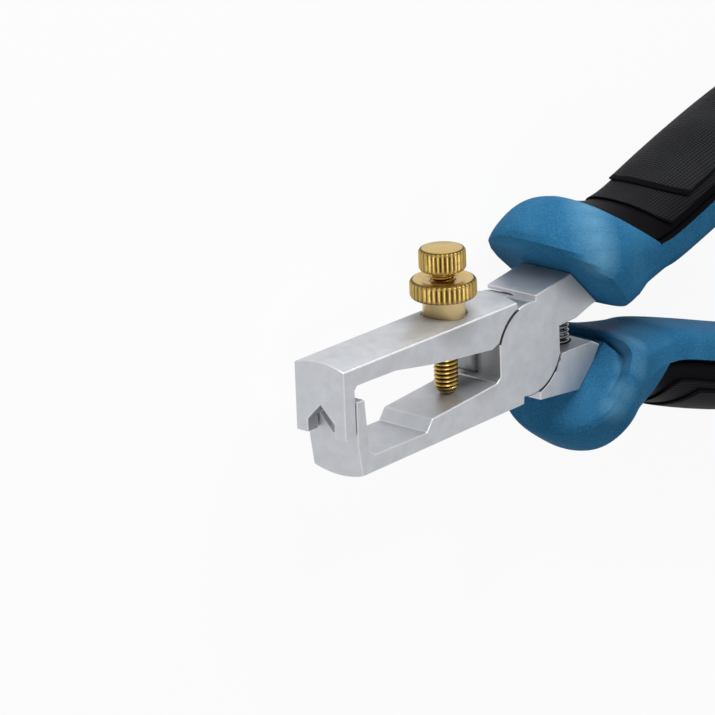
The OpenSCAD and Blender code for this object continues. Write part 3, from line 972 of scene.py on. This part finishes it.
light("key", (-90, 540, 160), 300, 1.5)
light("side", (200, 520, 340), 160, 1.7)
light("fill", (-380, -120, 480), 300, 0.9)
light("low", (60, -560, 260), 260, 0.5)

# %% [markdown]
# The floor is a matt white sheet under the tool. For the camera and in reflections, its own glow almost
# covers what falls on it, so only a soft shadow is left of it.

# %% Floor
floor_z = min(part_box(node)[0][2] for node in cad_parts)
bpy.ops.object.select_all(action="DESELECT")
bpy.ops.mesh.primitive_plane_add(size=6, location=(0, 0, floor_z - 0.05 * MM))
floor = bpy.context.object
floor.name = "floor"
bpy.ops.object.transform_apply(location=True, rotation=True, scale=True)


def seen_white(finish, lit, share):
    """Mixes a plain white glow with the lit surface, for the camera and for reflections."""
    path = finish.tree.nodes.new("ShaderNodeLightPath")
    seen = [Value(finish.tree, path.outputs[name])
            for name in ("Is Camera Ray", "Is Glossy Ray", "Is Transmission Ray")]
    mask = (seen[0] + (seen[1] + seen[2]) * 0.9).clamp() * share
    glow = finish.node("Emission", Color=(1, 1, 1, 1), Strength=1.0)
    mix = finish.node("MixShader", Fac=mask)
    sockets = mix.socket.node.inputs
    finish.tree.links.new(lit, sockets[1])
    finish.tree.links.new(glow.socket, sockets[2])
    return mix


paper = Finish("white_floor", (0.9, 0.9, 0.9), 0.9)
glow_share = 0.93
floor_look = seen_white(paper, paper.shader.outputs[0], glow_share)
output = next(n for n in paper.tree.nodes if n.type == "OUTPUT_MATERIAL")
paper.tree.links.new(floor_look.socket, output.inputs[0])
floor.data.materials.append(paper.material)
print("floor at", round(floor.data.vertices[0].co.z / MM, 2), "mm")

# %% [markdown]
# The world gives white to the camera, bands to a mirror, and a faint light from above to all else.

# %% World
world = bpy.data.worlds.new("studio")
world.use_nodes = True
bpy.context.scene.world = world


class Sky(Finish):
    """The world's nodes, with the same maths as a finish."""

    def __init__(self, tree):
        self.tree = tree


sky = Sky(world.node_tree)
background = world.node_tree.nodes["Background"]
direction = sky.node("TexCoord", out=0)
sky_x, sky_y, sky_z = sky.parts(direction)
lift = (sky_y * 0.5 + 0.5).clamp()
bands = ((sky_x * 7.0 + sky_z * 4.0).sin() * 0.5 + 0.5).clamp()
path = world.node_tree.nodes.new("ShaderNodeLightPath")
seen = Value(sky.tree, path.outputs["Is Camera Ray"])
mirrored = Value(sky.tree, path.outputs["Is Glossy Ray"])
soft = 0.03 + 0.30 * lift * lift
bright = 0.50 + 0.34 * lift + 0.18 * bands
sky.join(background.inputs["Strength"], (seen + mirrored * bright + (1 - seen - mirrored).max(0) * soft))
background.inputs["Color"].default_value = (1, 1, 1, 1)
print("world", world.name)

# %% [markdown]
# ## Checking against the photo
# The points below are read off the photo: the tool's left and lowest edge, and a few corners and rims. Its
# right and top edges lie outside the photo, because the handles run out of the frame. Each point names the
# finished piece that shows there and the way in which its place lies furthest out. A last number keeps to
# the places with a smaller X than that, in millimetres. The script works out how far the finished
# vertices that show are from each point, in pixels of the photo.

# %% Image points
image_points = {
    "left_edge": (294.6, None, "", -right, None),
    "lowest_edge": (None, 478, "", -up, None),
    "tip_front_top": (344.5, 374, "upper_jaw_lever", Vector((-1, 0.7, 1)), None),
    "tip_front_low": (362, 478, "lower_jaw_lever", Vector((-1, -1, 1)), -20),
    "tip_rear_low": (315, 463.2, "lower_jaw_lever", Vector((-1, -1, -1)), -20),
    "block_corner": (570.5, 274, "lower_jaw_lever", Vector((0.3, 1, 1)), 11.3),
    "screw_head_left": (416.5, None, "adjusting_screw_head", -right, None),
    "screw_head_right": (466, None, "adjusting_screw_head", right, None),
    "screw_head_top": (None, 240.5, "adjusting_screw_head", up, None),
    "nut_left": (408.5, None, "lock_nut", -right, None),
    "nut_right": (477, None, "lock_nut", right, None),
    "screw_point": (None, 393.5, "adjusting_screw_shaft", -up, None),
    "upper_guard_left": (489, 240, "upper_grip_shell", -right, None),
    "upper_guard_low": (622, 306.5, "upper_grip_shell", -up, None),
    "lower_guard_low": (578.9, 450.7, "lower_grip_shell", -up, 40),
    "upper_cover_low": (655.6, 239.4, "upper_grip_cover", -up, None),
    "upper_step_low": (671.3, 223.6, "upper_grip_border", -up, None),
    "upper_pad_low": (687.6, 195.3, "upper_palm_pad", -up, None),
}


print(len(image_points), "image points")

# %% [markdown]
# A place turns into an image point and back by the camera's own numbers. The finished pieces are one net of
# faces, and a ray through an image point meets what shows there.


# %% From places to the photo and back
def image_of(place):
    """Where a place shows in the photo's frame."""
    offset = place - camera_at
    scale = photo_size * lens_mm / sensor_mm / -offset.dot(back)
    return (photo_size / 2 + (offset.dot(right) * scale - camera_data.shift_x * photo_size),
            photo_size / 2 - (offset.dot(up) * scale - camera_data.shift_y * photo_size))


def seen_at(x, y, tree):
    """The place under an image point on a carrier's BVH tree. A miss takes the place nearest the ray."""
    way = (right * (x - photo_size / 2 + camera_data.shift_x * photo_size)
           + up * (photo_size / 2 - y + camera_data.shift_y * photo_size)
           - back * (photo_size * lens_mm / sensor_mm)).normalized()
    place = tree.ray_cast(camera_at, way)[0]
    if place is None:
        depth = (camera_aim - camera_at).length
        for _ in range(8):
            place = tree.find_nearest(camera_at + way * depth)[0]
            depth = (place - camera_at).dot(way)
    return place


# %% [markdown]
# An edge of a piece is its vertex that lies furthest out, among those that the camera sees. They are tried
# from the furthest inwards, until the ray through one meets the tool just there.

# %% What shows
most_tried = 4000
slack_mm = 0.4


def vertices_of(piece):
    """A piece's vertices, one row each."""
    places = numpy.empty(len(piece.data.vertices) * 3)
    piece.data.vertices.foreach_get("co", places)
    return places.reshape(-1, 3)


def whole_tool(pieces):
    """One BVH tree of all the finished pieces."""
    corners = []
    faces = []
    for piece in pieces:
        start = len(corners)
        corners += [tuple(vertex.co) for vertex in piece.data.vertices]
        faces += [[start + index for index in face.vertices] for face in piece.data.polygons]
    return BVHTree.FromPolygons(corners, faces)


def furthest(pieces, tree, way, before_mm):
    """The vertex furthest along a direction among those that the camera sees, or None."""
    if not pieces:
        return None
    places = numpy.vstack([vertices_of(piece) for piece in pieces])
    if before_mm is not None:
        places = places[places[:, 0] < before_mm * MM]
    for index in numpy.argsort(-places @ numpy.array(way))[:most_tried]:
        place = Vector(places[index])
        x, y = image_of(place)
        met = seen_at(x, y, tree)
        if 0 <= x <= photo_size and 0 <= y <= photo_size and (met - place).length < slack_mm * MM:
            return x, y
    return None


# %% [markdown]
# Each point is compared with what shows. A point whose edge is hidden is left out, so nothing stops on it.

# %% Distances from the points
finished = [piece for piece in bpy.context.scene.objects
            if piece.type == "MESH" and piece.name != floor.name and not piece.hide_render]
tool = whole_tool(finished)
for name, (x, y, start, way, before_mm) in image_points.items():
    shown = furthest([piece for piece in finished if piece.name.startswith(start)], tool, way, before_mm)
    if shown:
        off = [None if p is None else round(v - p, 1) for v, p in zip(shown, (x, y))]
